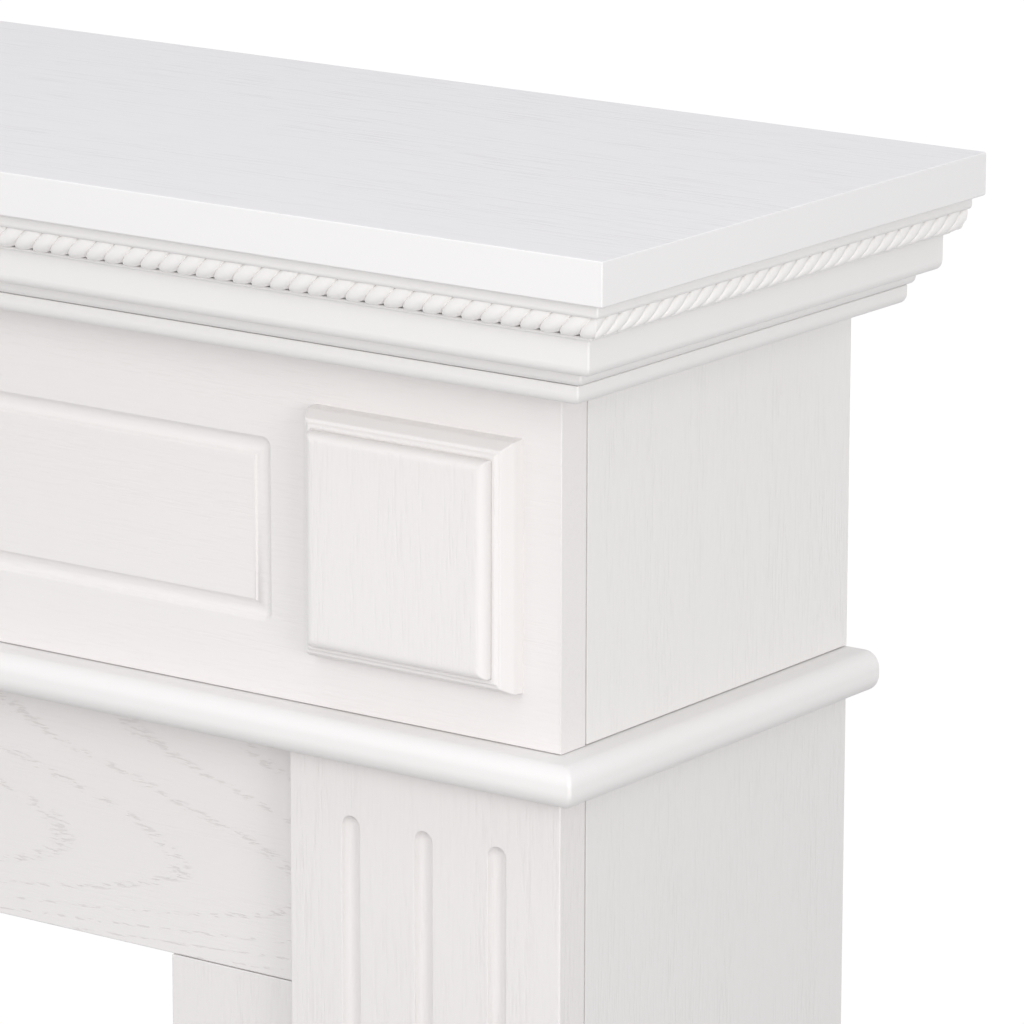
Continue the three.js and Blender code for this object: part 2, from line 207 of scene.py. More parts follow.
def ease_mitre(bm, edges, width, steps=3):
    """Rubs down a mitre's sharp arris, as sanding and paint do."""
    bmesh.ops.recalc_face_normals(bm, faces=bm.faces)
    bmesh.ops.bevel(bm, geom=edges, offset=width * MM, offset_type="ABSOLUTE", segments=steps,
                    profile=0.5, affect="EDGES", material=-1)


def close_holes(bm):
    """Fills what is still open, such as the sawn ends of a moulding."""
    rims = [edge for edge in bm.edges if edge.is_boundary]
    bmesh.ops.holes_fill(bm, edges=rims, sides=0)


# %% [markdown]
# ## Shader maths as plain expressions
# A material is a small calculation. Writing it as Python expressions is easier to read than a list
# of node links, so a socket is wrapped in a class that understands +, - and *. Any other
# node comes from one method. Numbers that don't change over the surface go straight on the shader.

# %% Sockets that can be calculated with
class Wire:
    """One output socket. Arithmetic on it adds Math nodes."""

    def __init__(self, finish, socket):
        self.finish = finish
        self.socket = socket

    def maths(self, operation, *values):
        """Adds a Math node that works on wires and numbers."""
        made = self.finish.node("ShaderNodeMath", {"operation": operation}, dict(enumerate(values)))
        return Wire(self.finish, made.outputs[0])

    def __add__(self, other):
        return self.maths("ADD", self, other)

    def __radd__(self, other):
        return self.maths("ADD", other, self)

    def __sub__(self, other):
        return self.maths("SUBTRACT", self, other)

    def __rsub__(self, other):
        return self.maths("SUBTRACT", other, self)

    def __mul__(self, other):
        return self.maths("MULTIPLY", self, other)

    def __rmul__(self, other):
        return self.maths("MULTIPLY", other, self)


class Finish:
    """One material and the nodes in it."""

    def __init__(self, name):
        self.material = bpy.data.materials.new(name)
        self.material.use_nodes = True
        self.tree = self.material.node_tree
        self.tree.nodes.clear()

    def node(self, kind, settings=None, values=None):
        """Adds a node: first its settings or a ramp's stops, then its values or links."""
        made = self.tree.nodes.new(kind)
        for name, value in (settings or {}).items():
            if name == "stops":
                ramp = made.color_ramp.elements
                for element, (place, shade) in zip(ramp, value):
                    element.position = place
                    element.color = (shade, shade, shade, 1)
            else:
                setattr(made, name, value)
        for name, value in (values or {}).items():
            if isinstance(value, Wire):
                self.tree.links.new(value.socket, made.inputs[name])
            else:
                made.inputs[name].default_value = value
        return made

    def take(self, kind, output, settings=None, values=None):
        """Adds a node and returns one of its outputs."""
        return Wire(self, self.node(kind, settings, values).outputs[output])

    def surface(self, **values):
        """Ends the material in one Principled shader."""
        names = {name.replace("_", " "): value for name, value in values.items()}
        shader = self.take("ShaderNodeBsdfPrincipled", "BSDF", None, names)
        self.node("ShaderNodeOutputMaterial", None, {"Surface": shader})
        return self.material


# %% [markdown]
# ## White satin paint
# The mouldings are smooth, sprayed and lightly sanded. Plain white would look like plastic, so the
# colour drifts a very little over a hand's width, the gloss is patchy, and a fine orange-peel bump
# breaks the highlights. All of it reads Object coordinates, so it stays put on every piece.

# %% Smooth paint for mouldings
PAINT_WHITE = (0.800, 0.786, 0.772)
PAINT_SHADE = (0.704, 0.684, 0.668)

# A Mix node has one set of sockets for each kind of data, and these are its colour ones
MIX_FACTOR, MIX_A, MIX_B, MIX_RESULT = 0, 6, 7, 2


def with_painted_light(colour, painted_light):
    """A colour with each of its three parts scaled by a factor of painted light and shade."""
    return (*(part * scale for part, scale in zip(colour, painted_light)), 1)


def paint_colour(finish, amount, painted_light):
    """The paint's white, taken towards its shade by an amount from 0 to 1. Painted light scales both.
    """
    values = {MIX_FACTOR: amount, MIX_A: with_painted_light(PAINT_WHITE, painted_light), MIX_B: with_painted_light(PAINT_SHADE, painted_light)}
    return finish.take("ShaderNodeMix", MIX_RESULT, {"data_type": "RGBA"}, values)


def noise(finish, place, scale, detail=2.0, roughness=0.5):
    """Noise from 0 to 1 at a place, with a scale in cells per metre."""
    values = {"Vector": place, "Scale": scale, "Detail": detail, "Roughness": roughness}
    return finish.take("ShaderNodeTexNoise", "Fac", None, values)


def ramp(finish, value, stops):
    """A value sent through a ramp of (place, shade) stops."""
    return finish.take("ShaderNodeValToRGB", "Color", {"stops": stops}, {"Fac": value})


def bump(finish, height, depth):
    """A normal from a height of 0 to 1 that stands for a depth in metres."""
    values = {"Height": height, "Distance": depth, "Strength": 1.0}
    return finish.take("ShaderNodeBump", "Normal", None, values)


def object_place(finish):
    """The place on the surface in the piece's own coordinates, in metres."""
    return finish.take("ShaderNodeTexCoord", "Object")


PEEL_SCALE = 420
PEEL_DEPTH = 0.00004
SMOOTH_CLOUD_SCALE = 9.0
SMOOTH_CLOUD = 0.12
SMOOTH_GLOSS_SCALE = 35.0
SMOOTH_GLOSS_SPREAD = 0.12


def smooth_paint(name, gloss, painted_light):
    """Sprayed satin paint over smooth wood. A lower gloss number shines more."""
    finish = Finish(name)
    place = object_place(finish)
    cloud = noise(finish, place, SMOOTH_CLOUD_SCALE)
    peel = noise(finish, place, PEEL_SCALE, detail=3.0)
    normal = bump(finish, peel, PEEL_DEPTH)
    colour = paint_colour(finish, cloud * SMOOTH_CLOUD, painted_light)
    roughness = noise(finish, place, SMOOTH_GLOSS_SCALE) * SMOOTH_GLOSS_SPREAD + gloss
    return finish.surface(Base_Color=colour, Roughness=roughness, Normal=normal)


# The last numbers are painted light: each piece's copy of the white is made lighter or darker as
# the light falls on it. The rope is painted brighter, and the mouldings a little brighter and cooler.
moulding_paint = smooth_paint("moulding_paint", 0.46, (1.02, 1.022, 1.024))
rope_paint = smooth_paint("rope_paint", 0.28, (1.07, 1.07, 1.07))
print("smooth paints made")

# %% [markdown]
# ## Paint over open oak grain
# The flat boards are oak veneer, and the paint sinks into the pores. Pores are thin lines that run
# with the grain, so noise is stretched: slow along the grain, fast across it. A slow second noise
# gathers them in bands, as spring wood does. They are mostly bump, because the paint covers them.

# %% Straight grained boards
GRAIN_ACROSS = 520.0
GRAIN_STRETCH = 14.0
BAND_ALONG = 3.5
BAND_ACROSS = 45.0
PORE_STOPS = ((0.48, 0.0), (0.66, 1.0))
BAND_STOPS = ((0.38, 0.30), (0.60, 1.0))
PORE_DEPTH = 0.00016
PORE_SHADE = 0.30
PORE_ROUGHNESS = 0.15
PEEL_SHARE = 0.12
VENEER_CLOUD_SCALE = 7.0
VENEER_CLOUD = 0.09
VENEER_GLOSS = 0.40
VENEER_GLOSS_SCALE = 30.0
VENEER_GLOSS_SPREAD = 0.10
FACE_STOPS = ((0.90, 0.0), (0.985, 1.0))
SHELF_GRAIN_ACROSS = 290.0


def streaks(finish, place, axis, along, across, detail=2.0, roughness=0.5):
    """Noise drawn out along one axis, with cells per metre given along that axis and across it."""
    scale = [across] * 3
    scale[axis] = along
    drawn_out = finish.take("ShaderNodeMapping", "Vector", None, {"Vector": place, "Scale": scale})
    return noise(finish, drawn_out, 1.0, detail, roughness)


def pores(finish, place, axis, across=GRAIN_ACROSS):
    """Thin pore lines from 0 to 1, gathered in bands, along axis 0, 1 or 2."""
    lines = streaks(finish, place, axis, across / GRAIN_STRETCH, across, roughness=0.6)
    bands = streaks(finish, place, axis, BAND_ALONG, BAND_ACROSS, detail=3.0)
    return ramp(finish, lines, PORE_STOPS) * ramp(finish, bands, BAND_STOPS)


def facing(finish, axis):
    """1 where the surface faces along an object axis, either way, and 0 elsewhere."""
    normal = finish.take("ShaderNodeTexCoord", "Normal")
    part = finish.take("ShaderNodeSeparateXYZ", axis, None, {"Vector": normal})
    return ramp(finish, part.maths("ABSOLUTE", part), FACE_STOPS)


def veneer_paint(name, axis, strength, painted_light, face=None, across=GRAIN_ACROSS):
    """Satin paint over oak with the grain along an axis, on all faces or those along one axis."""
    finish = Finish(name)
    place = object_place(finish)
    grain = pores(finish, place, axis, across)
    if face is not None:
        grain = grain * facing(finish, face)
    cloud = noise(finish, place, VENEER_CLOUD_SCALE)
    peel = noise(finish, place, PEEL_SCALE)
    patches = noise(finish, place, VENEER_GLOSS_SCALE)
    normal = bump(finish, peel * PEEL_SHARE - grain * strength, PORE_DEPTH)
    colour = paint_colour(finish, cloud * VENEER_CLOUD + grain * (PORE_SHADE * strength), painted_light)
    roughness = grain * PORE_ROUGHNESS + patches * VENEER_GLOSS_SPREAD + VENEER_GLOSS
    return finish.surface(Base_Color=colour, Roughness=roughness, Normal=normal)


# The last colour numbers here are painted light and shade: the shelf is made cooler for the cool
# light from above, the sides lighter, and the leg sides and pilasters darker, as light falls on them.
shelf_paint = veneer_paint("shelf_paint", 0, 1.3, (1.0, 1.008, 1.016), "Z", SHELF_GRAIN_ACROSS)
frieze_paint = veneer_paint("frieze_paint", 0, 0.45, (1.00, 0.988, 0.993))
block_paint = veneer_paint("block_paint", 2, 0.8, (1.00, 0.991, 0.994), "Y")
side_paint = veneer_paint("side_paint", 2, 0.75, (1.01, 1.01, 1.01))
leg_side_paint = veneer_paint("leg_side_paint", 2, 0.75, (0.965, 0.965, 0.965))
pilaster_paint = veneer_paint("pilaster_paint", 2, 0.9, (0.965, 0.954, 0.957))
print("grained paints made")

# %% [markdown]
# ## The apron's arched grain
# The board over the fire is cut flat from the log, so its rings show as long arches. An arch is
# where x + q * z * z stays the same, so that sum, shaken by noise, is sent through a sine. Where the
# sine peaks, short dark pores gather, and between the arches the paint is nearly plain. The arches
# close towards the right, and open wider below their middle than above it.

# %% Arched grain
ARCH_AXIS_Z = 0.565
ARCH_TIP_X = 0.186
ARCH_OPENING = 80.0
ARCH_SKEW = 550.0
ARCH_SPACING = 0.100
ARCH_PEAK = ((0.86, 0.0), (0.98, 1.0))
DASH_STOPS = ((0.53, 0.0), (0.60, 1.0))
DASH_ALONG = 95.0
DASH_ACROSS = 620.0
WANDER = 0.06
WANDER_ALONG = 5.0
WANDER_ACROSS = 14.0
FLUTTER = 0.014
FLUTTER_ALONG = 40.0
FLUTTER_ACROSS = 120.0
ARCH_SHADE = 0.75
FINE_DEPTH = 0.3
FINE_SHADE = 0.08
APRON_GLOSS = 0.45
# The apron's copy of the white is made a little darker, as painted shade.
APRON_PAINTED_SHADE = (0.985, 0.974, 0.978)


def arched_paint(name):
    """Satin paint over flat cut oak, with its arches along X."""
    finish = Finish(name)
    place = object_place(finish)
    parts = finish.node("ShaderNodeSeparateXYZ", None, {"Vector": place})
    x = Wire(finish, parts.outputs["X"])
    z = Wire(finish, parts.outputs["Z"])
    wander = (streaks(finish, place, 0, WANDER_ALONG, WANDER_ACROSS, detail=3.0) - 0.5) * WANDER
    flutter = (streaks(finish, place, 0, FLUTTER_ALONG, FLUTTER_ACROSS) - 0.5) * FLUTTER
    rise = z - ARCH_AXIS_Z
    opening = ARCH_OPENING - rise * ARCH_SKEW
    past_tip = x - ARCH_TIP_X + rise * rise * opening + wander + flutter
    turn = past_tip * (2 * pi / ARCH_SPACING)
    wave = turn.maths("COSINE", turn) * 0.5 + 0.5
    dashes = streaks(finish, place, 0, DASH_ALONG, DASH_ACROSS, roughness=0.6)
    lines = ramp(finish, wave, ARCH_PEAK) * ramp(finish, dashes, DASH_STOPS)
    fine = pores(finish, place, 0)
    cloud = noise(finish, place, VENEER_CLOUD_SCALE)
    peel = noise(finish, place, PEEL_SCALE)
    normal = bump(finish, peel * PEEL_SHARE - lines - fine * FINE_DEPTH, PORE_DEPTH)
    darker = cloud * VENEER_CLOUD + fine * FINE_SHADE + lines * ARCH_SHADE
    colour = paint_colour(finish, darker, APRON_PAINTED_SHADE)
    roughness = lines * PORE_ROUGHNESS + APRON_GLOSS
    return finish.surface(Base_Color=colour, Roughness=roughness, Normal=normal)


apron_paint = arched_paint("apron_paint")
print("arched grain every", round(ARCH_SPACING / MM), "mm")

# %% [markdown]
# ## Plain boards
# The sides and the boards round the opening are flat boards. Their edges are rubbed down a little so
# that the paint holds. A cube brought to size and bevelled on all edges says just that. The sides
# don't quite close against the front boards, and the narrow gap is the dark joint of the photo.

# %% Eased boards
def eased_board(node, name, material, ease, gap=Vector()):
    """A board in the place of a CAD board, with eased arrises and maybe gaps at its low ends."""
    low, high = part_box(node)
    low += gap * MM
    size = high - low
    bm = bmesh.new()
    place = Matrix.Translation((low + high) / 2) @ Matrix.Diagonal((*size, 1))
    bmesh.ops.create_cube(bm, size=1, matrix=place)
    bmesh.ops.bevel(bm, geom=bm.edges[:], offset=ease * MM, offset_type="OFFSET", segments=2,
                    profile=0.5, affect="EDGES", material=-1)
    return finished(bm, name, material, [node])


SIDE_GAP = Vector((0, 1.0, 0.6))
SIDE_EASE = 0.5
STILE_EASE = 0.8
APRON_EASE = 1.0

for side in ("right", "left"):
    eased_board(f"upper_side_{side}", f"upper_side_panel_{side}", side_paint, SIDE_EASE, SIDE_GAP)
    eased_board(f"leg_side_{side}", f"leg_side_panel_{side}", leg_side_paint, SIDE_EASE, SIDE_GAP)
    eased_board(f"stile_{side}", f"opening_stile_{side}", pilaster_paint, STILE_EASE)
eased_board("apron", "apron_board", apron_paint, APRON_EASE)

# %% [markdown]
# ## The shelf
# The shelf's arrises are not all the same. Above they are only dusted with sandpaper, and below they
# are rounded, so that a hand under the edge finds no corner. That round turns into its own shade and
# draws the thin dark line under the shelf. The photo shows the board a little thicker than its
# solid, so its underside comes down over the crown. Its edge is swept round the four corners.

# %% The shelf
SHELF_TOP_EASE = 0.9
SHELF_UNDER_EASE = 1.2
SHELF_EXTRA = 1.5
SHELF_RIM = 4
CORNER_AT_LEAST = 0.1

shelf_low, shelf_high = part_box("shelf")
shelf_low.z -= SHELF_EXTRA * MM
shelf_thickness = (shelf_high.z - shelf_low.z) / MM
shelf_edge = [
    (-SHELF_RIM, shelf_thickness, 0, 0),
    (0, shelf_thickness, SHELF_TOP_EASE, 3),
    (0, 0, SHELF_UNDER_EASE, 5),
    (-SHELF_RIM, 0, 0, 0),
]
shelf_walk = [
    (shelf_low.x, shelf_low.y, -1, -1),
    (shelf_high.x, shelf_low.y, 1, -1),
    (shelf_high.x, shelf_high.y, 1, 1),
    (shelf_low.x, shelf_high.y, -1, 1),
]
shelf_corners = [
    station(Vector((x, y, shelf_low.z)), Vector((across, deep, 0)))
    for x, y, across, deep in shelf_walk
]
bm = bmesh.new()
swept(bm, drawn_profile(bm, shelf_edge), [*shelf_corners, shelf_corners[0]])
bmesh.ops.remove_doubles(bm, verts=bm.verts, dist=MERGE)
close_holes(bm)
arrises = [
    edge for edge in bm.edges
    if edge.calc_face_angle() > CORNER_AT_LEAST and edge.calc_length() < 2 * shelf_thickness * MM
]
ease_mitre(bm, arrises, SHELF_TOP_EASE)
finished(bm, "shelf_board", shelf_paint, ["shelf"])

# %% [markdown]
# ## The cornice
# Two mouldings go round the front and both ends: a small rounded one below, and the crown above it.
# Their mitres are glued, filled and painted over, so each is one ring here, swept through four
# stations: back left, two mitred corners, back right. Its mitre arrises are rubbed down last.

# %% Stations round three sides of the body
RIGHT_CORNER = Vector((body_half, front_y, 0))
LEFT_CORNER = Vector((-body_half, front_y, 0))
RIGHT_END = Vector((body_half, back_y, 0))
LEFT_END = Vector((-body_half, back_y, 0))


def round_three_sides(foot):
    """Four stations at a height: the back left end, both front mitres and the back right end."""
    rise = Vector((0, 0, foot))
    return [
        station(LEFT_END + rise, -RIGHT),
        station(LEFT_CORNER + rise, -RIGHT - BACK),
        station(RIGHT_CORNER + rise, RIGHT - BACK),
        station(RIGHT_END + rise, RIGHT),
    ]


# %% The two cornice mouldings
OVOLO_CORNERS = [
    (0, 0, 0, 0),
    (41.3, 0, 7.5, 8),
    (41.3, 12.7, 0.6, 2),
    (0, 12.7, 0, 0),
]
CROWN_CORNERS = [
    (0, 0, 0, 0),
    (47.7, 0, 6.2, 7),
    (47.7, 11.3, 0.8, 2),
    (66.9, 11.3, 7.0, 8),
    (67.3, 35.8, 0, 0),
    (72.5, 35.8, 0.6, 2),
    (72.5, 38.0, 0.8, 2),
    (67.3, 38.0, 0, 0),
    (67.3, 52.9, 0, 0),
    (88.0, 52.9, 3.2, 6),
    (88.0, 63.0, 0.8, 2),
    (0, 63.0, 0, 0),
]
MITRE_EASE = 1.3


def cornice_ring(name, corners, foot, nodes):
    """A closed moulding round three sides of the body."""
    bm = bmesh.new()
    profile = drawn_profile(bm, corners, closed=True)
    rims = swept(bm, profile, round_three_sides(foot))
    ease_mitre(bm, rims[1] + rims[2], MITRE_EASE)
    close_holes(bm)
    return finished(bm, name, moulding_paint, nodes)


def three_runs(name):
    """The CAD nodes of a moulding's three runs."""
    return [f"{name}_front", f"{name}_right", f"{name}_left"]


ovolo_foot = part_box("ovolo_front")[0].z
crown_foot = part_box("crown_front")[0].z
cornice_ring("lower_cornice_moulding", OVOLO_CORNERS, ovolo_foot, three_runs("ovolo"))
cornice_ring("crown_moulding", CROWN_CORNERS, crown_foot, three_runs("crown"))

# %% [markdown]
# ## The rope
# The rope moulding is a row of plump strands pressed into a strip. Each strand hangs from under the
# cap with a round foot and leans along the run. So one strand is half a ball with a straight stub
# on top, all of it pushed over in proportion to its height. Copies a pitch apart run into each
# other, which makes the creases, and leave small dark gaps between their feet.

# %% One strand
# Heights are measured up from the shelf's underside, and "out" from the face of the body
ROPE_PITCH = 14.18
STRAND_HALF_LENGTH = 9.4
STRAND_DEPTH = 9.8
STRAND_FULLNESS = 0.74
STRAND_FOOT_HEIGHT = 9.6
STRAND_CENTRE_OUT = 75.2
STRAND_CENTRE_UP = -16.3
STRAND_LEAN = 1.0
ROPE_TOP = -10.8
ROPE_BACK = 67.5
STRAND_SEGMENTS = 16
STRAND_RINGS = 12
DRAWING_SNAP = 1e-5
SAW_SNAP = 1e-7
shelf_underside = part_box("shelf")[0].z


def fuller(part):
    """Moves a part of a unit circle outwards, so that the circle comes nearer to a square."""
    return copysign(abs(part) ** STRAND_FULLNESS, part)


def sawn(bm, point, normal, snap):
    """Cuts away what lies past a plane. The snap is how near to the plane a point may stay."""
    parts = [*bm.verts, *bm.edges, *bm.faces]
    bmesh.ops.bisect_plane(bm, geom=parts, dist=snap, plane_co=point, plane_no=normal, clear_outer=True)


def one_strand(bm):
    """One strand in millimetres, as (along, out, up from the shelf), with its foot at along 0."""
    bmesh.ops.create_uvsphere(bm, u_segments=STRAND_SEGMENTS, v_segments=STRAND_RINGS, radius=1)
    sawn(bm, (0, 0, 0), UP, MERGE)
    rim = [edge for edge in bm.edges if edge.is_boundary]
    stub = bmesh.ops.extrude_edge_only(bm, edges=rim)["geom"]
    stub_length = (ROPE_TOP - STRAND_CENTRE_UP) / STRAND_FOOT_HEIGHT
    bmesh.ops.translate(bm, vec=(0, 0, stub_length), verts=points_in(stub))
    close_holes(bm)
    for point in bm.verts:
        x, y, z = point.co
        reach = hypot(x, y) or 1
        girth = reach ** STRAND_FULLNESS
        height = (z + 1) * STRAND_FOOT_HEIGHT
        point.co = (
            girth * fuller(x / reach) * STRAND_HALF_LENGTH + STRAND_LEAN * height,
            girth * fuller(y / reach) * STRAND_DEPTH + STRAND_CENTRE_OUT,
            height + STRAND_CENTRE_UP - STRAND_FOOT_HEIGHT,
        )
    sawn(bm, (0, ROPE_BACK, 0), -BACK, DRAWING_SNAP)
    close_holes(bm)


def strand_run(feet):
    """Strands whose feet stand at distances along a run."""
    bm = bmesh.new()
    one_strand(bm)
    master = [*bm.verts, *bm.edges, *bm.faces]
    for foot in feet[1:]:
        copy = bmesh.ops.duplicate(bm, geom=master)["geom"]
        bmesh.ops.translate(bm, vec=(foot, 0, 0), verts=points_in(copy))
    bmesh.ops.translate(bm, vec=(feet[0], 0, 0), verts=points_in(master))
    return bm


# %% Rope on the front and both ends
def rope_piece(name, node, feet, origin, along, out, cuts):
    """Sets a run of strands in place and saws it off at planes given as (point, normal)."""
    bm = strand_run(feet)
    place = Matrix((along * MM, out * MM, UP * MM)).transposed().to_4x4()
    rise = Vector((0, 0, shelf_underside))
    bmesh.ops.transform(bm, matrix=Matrix.Translation(origin + rise) @ place, verts=bm.verts)
    for point, normal in cuts:
        sawn(bm, point, normal, SAW_SNAP)
        close_holes(bm)
    return finished(bm, name, rope_paint, [node])


RIGHT_MITRE = (RIGHT + BACK).normalized()
LEFT_MITRE = (-RIGHT + BACK).normalized()
front_width = 2 * body_half / MM

# The pitch is the photo's as far as the photo goes. Past that it changes by a hair, so that the
# strands meet the left mitre as they meet the right one.
FRONT_FIRST_FOOT = 73.2
RIGHT_FIRST_FOOT = -94.2
LEFT_FIRST_FOOT = 75.0
END_STRANDS = 30
SEEN_STRANDS = 46
unseen_from = FRONT_FIRST_FOOT - ROPE_PITCH * SEEN_STRANDS
unseen_to = -front_width - FRONT_FIRST_FOOT - ROPE_PITCH
unseen_strands = round((unseen_from - unseen_to) / ROPE_PITCH)
unseen_pitch = (unseen_from - unseen_to) / unseen_strands
front_feet = [FRONT_FIRST_FOOT - ROPE_PITCH * i for i in range(SEEN_STRANDS)]
front_feet += [unseen_from - unseen_pitch * i for i in range(unseen_strands + 1)]
right_feet = [RIGHT_FIRST_FOOT + ROPE_PITCH * i for i in range(END_STRANDS)]
left_feet = [LEFT_FIRST_FOOT - ROPE_PITCH * i for i in range(END_STRANDS)]

rope_piece("rope_strands_front", "rope_front", front_feet, RIGHT_CORNER, RIGHT, -BACK,
           [(RIGHT_CORNER, RIGHT_MITRE), (LEFT_CORNER, LEFT_MITRE)])
rope_piece("rope_strands_right", "rope_right", right_feet, RIGHT_CORNER, BACK, RIGHT,
           [(RIGHT_CORNER, -RIGHT_MITRE), (RIGHT_END, BACK)])
rope_piece("rope_strands_left", "rope_left", left_feet, LEFT_CORNER, -BACK, -RIGHT,
           [(LEFT_CORNER, -LEFT_MITRE), (LEFT_END, BACK)])
print("front strands", len(front_feet), "pitch on the left", round(unseen_pitch, 2), "mm")

# %% [markdown]
# ## The middle board
# The board between the frieze and the legs has a rounded nose on its front and both ends. It is a
# swept nose whose top and bottom are filled with one face each, and then its back. Its corner is
# rubbed down more than the others, because hands and dusters reach it.

# %% The middle board
MIDDLE_THICKNESS = 27
MIDDLE_OUT = 25
MIDDLE_NOSE = [
    (0, MIDDLE_THICKNESS, 0, 0),
    (MIDDLE_OUT, MIDDLE_THICKNESS, 10.8, 9),
    (MIDDLE_OUT, 0, 12.6, 10),
    (0, 0, 0, 0),
]
MIDDLE_MITRE_EASE = 2.6

middle_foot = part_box("middle_board")[0].z
bm = bmesh.new()
nose = drawn_profile(bm, MIDDLE_NOSE)
rims = swept(bm, nose, round_three_sides(middle_foot))
inner_points = [
    point for point in bm.verts
    if abs(point.co.x) <= body_half + MERGE and point.co.y >= front_y - MERGE
]
for height in (middle_foot, middle_foot + MIDDLE_THICKNESS * MM):
    ring = [point for point in inner_points if abs(point.co.z - height) < MERGE]
    bmesh.ops.contextual_create(bm, geom=ring)
ease_mitre(bm, rims[1] + rims[2], MIDDLE_MITRE_EASE, 4)
close_holes(bm)
finished(bm, "middle_board_rounded", moulding_paint, ["middle_board"])

# %% [markdown]
# ## Boards cut with a round-nosed cutter
# The panel line in the frieze and the flutes in the pilasters are router cuts. A cutter leaves half
# a round groove on each side of its path and a quarter or half turn where the path turns. So half
# of the groove is extruded along each straight and spun round each corner. A Boolean would also
# cut it, but its lip can't be eased so evenly.

# %% Half a groove, carried round a path
LIP_STEPS = 3


def groove_half(radius, depth, steps, lip, flat):
    """Corners of half a groove, from its bottom to the face of the board."""
    reach = acos((radius - depth) / radius)
    rise = radius - depth
    corners = []
    for i in range(steps + 1):
        angle = reach * i / steps
        easing = lip if i == steps else 0
        corners.append((radius * sin(angle), rise - radius * cos(angle), easing, LIP_STEPS))
    corners.append((corners[-1][0] + flat, 0, 0, 0))
    return corners


def cut_path(bm, corners, path, steps):
    """Runs half a groove round a closed path on the front face, on its outer side."""
    profile = drawn_profile(bm, corners)
    heading = (path[1] - path[0]).normalized()
    outward = Vector((heading.z, 0, -heading.x))
    bmesh.ops.transform(bm, matrix=station(path[0], outward, -BACK), verts=ends_of(profile))
    rim = profile
    for i, here in enumerate(path):
        there = path[(i + 1) % len(path)]
        after = path[(i + 2) % len(path)]
        made = bmesh.ops.extrude_edge_only(bm, edges=rim)["geom"]
        bmesh.ops.translate(bm, vec=there - here, verts=points_in(made))
        angle = (there - here).angle(after - there)
        made = bmesh.ops.spin(bm, geom=edges_in(made), cent=there, axis=-BACK, angle=angle, steps=steps,
                              use_merge=False, use_duplicate=False)["geom_last"]
        rim = edges_in(made)


def corner_stations(low, high, inward):
    """Stations at a rectangle's four corners on the front face, with out along the diagonals."""
    sense = 1 if inward else -1
    walk = [
        (low.x, low.z, 1, 1),
        (high.x, low.z, -1, 1),
        (high.x, high.z, -1, -1),
        (low.x, high.z, 1, -1),
    ]
    stations = [
        station(Vector((x, front_y, z)), Vector((sense * across, 0, sense * rise)), -BACK)
        for x, z, across, rise in walk
    ]
    return [*stations, stations[0]]


# %% A board's edges and its cut face
BOARD_EASE = 1.0
BACK_EASE = 0.4
BOARD_RIM = 3


def board_edges(bm, low, high):
    """The four edges of a front board: its arris, its thickness and the start of its back."""
    thickness = (high.y - low.y) / MM
    corners = [
        (-BOARD_RIM, 0, 0, 0),
        (0, 0, BOARD_EASE, 3),
        (0, -thickness, BACK_EASE, 2),
        (-BOARD_RIM, -thickness, 0, 0),
    ]
    swept(bm, drawn_profile(bm, corners), corner_stations(low, high, inward=False))


def fill_front(bm):
    """Fills the open front face between the board's edges and its grooves, then the back."""
    bmesh.ops.remove_doubles(bm, verts=bm.verts, dist=MERGE)
    rims = [
        edge for edge in bm.edges
        if edge.is_boundary and all(abs(point.co.y - front_y) < MERGE for point in edge.verts)
    ]
    bmesh.ops.triangle_fill(bm, use_beauty=True, use_dissolve=False, edges=rims, normal=-BACK)
    close_holes(bm)


# %% [markdown]
# ## The frieze and its panel line
# The panel line turns square corners. Outside, the cutter leaves each corner round. Inside, the
# edge of the panel stays sharp, so the inner half of the groove is swept with mitres instead.

# %% The frieze board
PANEL_END_MARGIN = 227
PANEL_BOTTOM = 55
PANEL_HEIGHT = 104.5
PANEL_CUT = groove_half(radius=8, depth=3.2, steps=6, lip=0.7, flat=2)
PANEL_TURN_STEPS = 7
FRIEZE_GAP = 0.45

bm = bmesh.new()
frieze_low, frieze_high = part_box("frieze_board")
frieze_low.z += FRIEZE_GAP * MM
board_edges(bm, frieze_low, frieze_high)
panel_x = body_half - PANEL_END_MARGIN * MM
panel_low = Vector((-panel_x, front_y, frieze_foot + PANEL_BOTTOM * MM))
panel_high = Vector((panel_x, front_y, panel_low.z + PANEL_HEIGHT * MM))
panel_path = [
    panel_low,
    Vector((panel_high.x, front_y, panel_low.z)),
    panel_high,
    Vector((panel_low.x, front_y, panel_high.z)),
]
swept(bm, drawn_profile(bm, PANEL_CUT), corner_stations(panel_low, panel_high, inward=True))
bmesh.ops.remove_doubles(bm, verts=bm.verts, dist=MERGE)
field = [
    edge for edge in bm.edges
    if edge.is_boundary and all(
        abs(point.co.y - front_y) < MERGE and abs(point.co.x) < panel_x and point.co.z < panel_high.z
        and point.co.z > panel_low.z for point in edge.verts
    )
]
bmesh.ops.contextual_create(bm, geom=field)
cut_path(bm, PANEL_CUT, panel_path, PANEL_TURN_STEPS)
fill_front(bm)
finished(bm, "frieze_panelled", frieze_paint, ["frieze_board"])

# %% [markdown]
# ## The fluted pilasters
# Three flutes stop short of each end with a round end. A flute is the same half groove, carried up
# one side, spun half a turn, down the other side and spun again.

# %% Pilasters
FLUTE_CUT = groove_half(radius=7, depth=6, steps=9, lip=0.5, flat=2)
FLUTE_TURN_STEPS = 14
FLUTE_COUNT = 3
FLUTE_SPACING = 56 * MM
FLUTE_MARGIN = 39
FLUTE_HALF_WIDTH = FLUTE_CUT[-2][0]
plinth_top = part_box("plinth_front_right")[1].z

